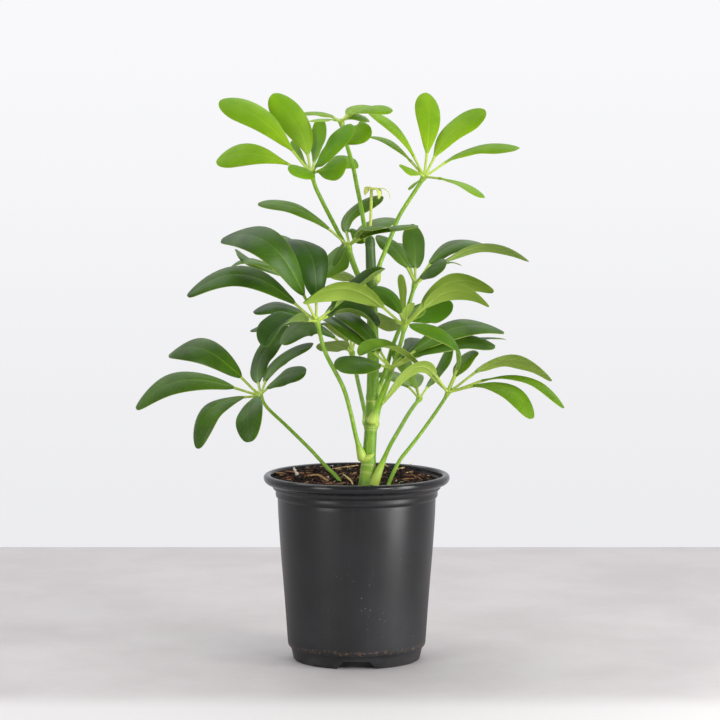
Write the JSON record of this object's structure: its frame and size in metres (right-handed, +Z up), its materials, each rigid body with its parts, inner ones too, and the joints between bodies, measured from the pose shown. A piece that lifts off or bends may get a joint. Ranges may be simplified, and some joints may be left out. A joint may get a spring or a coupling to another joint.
{
  "type": "potted umbrella plant",
  "caption": "Young umbrella plant with an upright green stem and whorls of glossy leaflets, growing in a tapered black nursery pot.",
  "frame": {"origin": "centre of the pot's flat base, on the surface it stands on", "axes": "+Z up along the pot's axis, -Y towards the side that the picture shows, +X to the right seen from there"},
  "size_m": [0.3418, 0.2482, 0.4552],
  "materials": {
    "pot_plastic": "satin, thin moulded plastic",
    "potting_mix": "rough, moist, with bark chips and white perlite",
    "stem_green": "satin, smooth, paler at the nodes",
    "stalk_green": "satin, smooth",
    "leaf_dark": "waxy gloss above, matte and paler below",
    "leaf_bright": "waxy gloss above, matte below",
    "sprout_green": "soft, matte"
  },
  "bodies": {
    "root": {"pot": "pot_plastic", "soil": "potting_mix", "stem": "stem_green", "leaf_01_stalk": "stalk_green", "leaf_01_leaflets": "leaf_bright", "leaf_02_stalk": "stalk_green", "leaf_02_leaflets": "leaf_bright", "leaf_03_stalk": "stalk_green", "leaf_03_leaflets": "leaf_bright", "leaf_04_stalk": "stalk_green", "leaf_04_leaflets": "leaf_dark", "leaf_05_stalk": "stalk_green", "leaf_05_leaflets": "leaf_dark", "leaf_06_stalk": "stalk_green", "leaf_06_leaflets": "leaf_dark", "leaf_07_stalk": "stalk_green", "leaf_07_leaflets": "leaf_dark", "leaf_08_stalk": "stalk_green", "leaf_08_leaflets": "leaf_bright", "leaf_09_stalk": "stalk_green", "leaf_09_leaflets": "leaf_dark", "leaf_10_stalk": "stalk_green", "leaf_10_leaflets": "leaf_bright", "leaf_11_stalk": "stalk_green", "leaf_11_leaflets": "leaf_dark", "leaf_12_stalk": "stalk_green", "leaf_12_leaflets": "leaf_dark", "leaf_13_stalk": "stalk_green", "leaf_13_leaflets": "leaf_dark", "sprout_stalk": "sprout_green", "sprout_leaflets": "sprout_green"}
  },
  "joints": []
}
